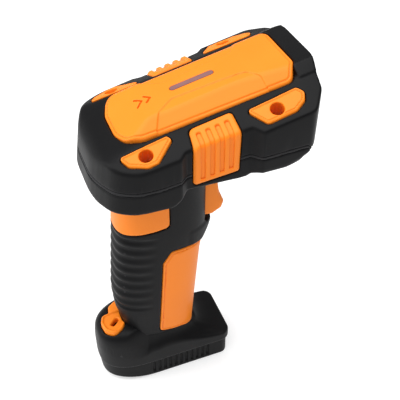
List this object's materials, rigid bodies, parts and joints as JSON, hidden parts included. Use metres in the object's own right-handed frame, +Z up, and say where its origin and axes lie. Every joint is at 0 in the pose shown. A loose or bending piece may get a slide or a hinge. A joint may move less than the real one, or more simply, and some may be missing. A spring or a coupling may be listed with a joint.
{
  "type": "handheld scanner",
  "caption": "Rugged pistol-grip handheld scanner with a pitched rubber-clad head, coloured trim panels, a finger trigger, a ribbed grip and a flat charging foot with a lanyard lug.",
  "frame": {"origin": "on the table under the middle of the bounding box", "axes": "+X is the way the scan window points, +Y is the scanner's left side, +Z is up with the scanner standing on its foot"},
  "size_m": [0.1076, 0.0732, 0.1876],
  "materials": {
    "black_rubber": "fine matt texture",
    "seal_rubber": "matt",
    "orange_plastic": "satin, fine grain",
    "black_plastic": "satin",
    "steel": "bright zinc plate",
    "zinc_frame": "cast, dull",
    "smoked_lens": "smoked, translucent look",
    "window_glass": "clear with a dark red tint",
    "lens_glass": "coated",
    "lamp": "clear epoxy",
    "circuit_board": "solder mask",
    "battery_wrap": "shrink wrap",
    "insulator": "fibre sheet",
    "brass_contact": "polished",
    "plunger_red": "moulded"
  },
  "bodies": {
    "housing": {"aiming_light": "lamp", "battery_cell": "battery_wrap", "battery_contact_top": "brass_contact", "battery_sleeve": "insulator", "buzzer": "black_plastic", "camera_lens": "lens_glass", "charge_contact_a": "brass_contact", "charge_contact_b": "brass_contact", "engine_body": "black_plastic", "engine_bracket": "zinc_frame", "foot_cap": "black_plastic", "foot_screw_front_left": "steel", "foot_screw_front_right": "steel", "foot_screw_rear": "steel", "foot_seal": "seal_rubber", "foot_skirt": "black_rubber", "front_strip": "orange_plastic", "handle_board": "circuit_board", "handle_frame": "black_plastic", "handle_saddle": "orange_plastic", "head_gasket": "seal_rubber", "head_lower_shell": "black_rubber", "head_screw_front_left": "steel", "head_screw_front_right": "steel", "head_screw_rear_left": "steel", "head_screw_rear_right": "steel", "head_upper_shell": "black_rubber", "illumination_light": "lamp", "lanyard_lug": "orange_plastic", "lens_barrel": "black_plastic", "light_guide": "smoked_lens", "main_board": "circuit_board", "processor": "black_plastic", "rubber_grip": "black_rubber", "scan_window": "window_glass", "screw_pad_front_left": "orange_plastic", "screw_pad_front_right": "orange_plastic", "screw_pad_rear_left": "orange_plastic", "screw_pad_rear_right": "orange_plastic", "side_grip_left": "orange_plastic", "side_grip_right": "orange_plastic", "status_lamp_board": "circuit_board", "switch_body": "black_plastic", "switch_bracket": "black_plastic", "top_panel": "orange_plastic", "trigger_pin": "steel", "trigger_spring": "steel", "vibration_motor": "steel", "window_bezel": "black_plastic", "window_gasket": "seal_rubber"},
    "trigger": {"trigger": "orange_plastic"},
    "plunger": {"switch_plunger": "plunger_red"}
  },
  "joints": [
    {"name": "trigger_pull", "type": "hinge", "parent": "housing", "child": "trigger", "pos_m": [0.0055, 0, 0.139], "axis": [0, 1, 0], "range_deg": [0, 6], "stiffness_Nm_per_rad": 0.3, "springref_deg": -8.59},
    {"name": "plunger_press", "type": "slide", "parent": "housing", "child": "plunger", "axis": [-1, 0, 0], "range_m": [0, 0.0023]}
  ],
  "couplings": [
    {"joint": "plunger_press", "follows": "trigger_pull", "m_per_rad": 0.021}
  ]
}
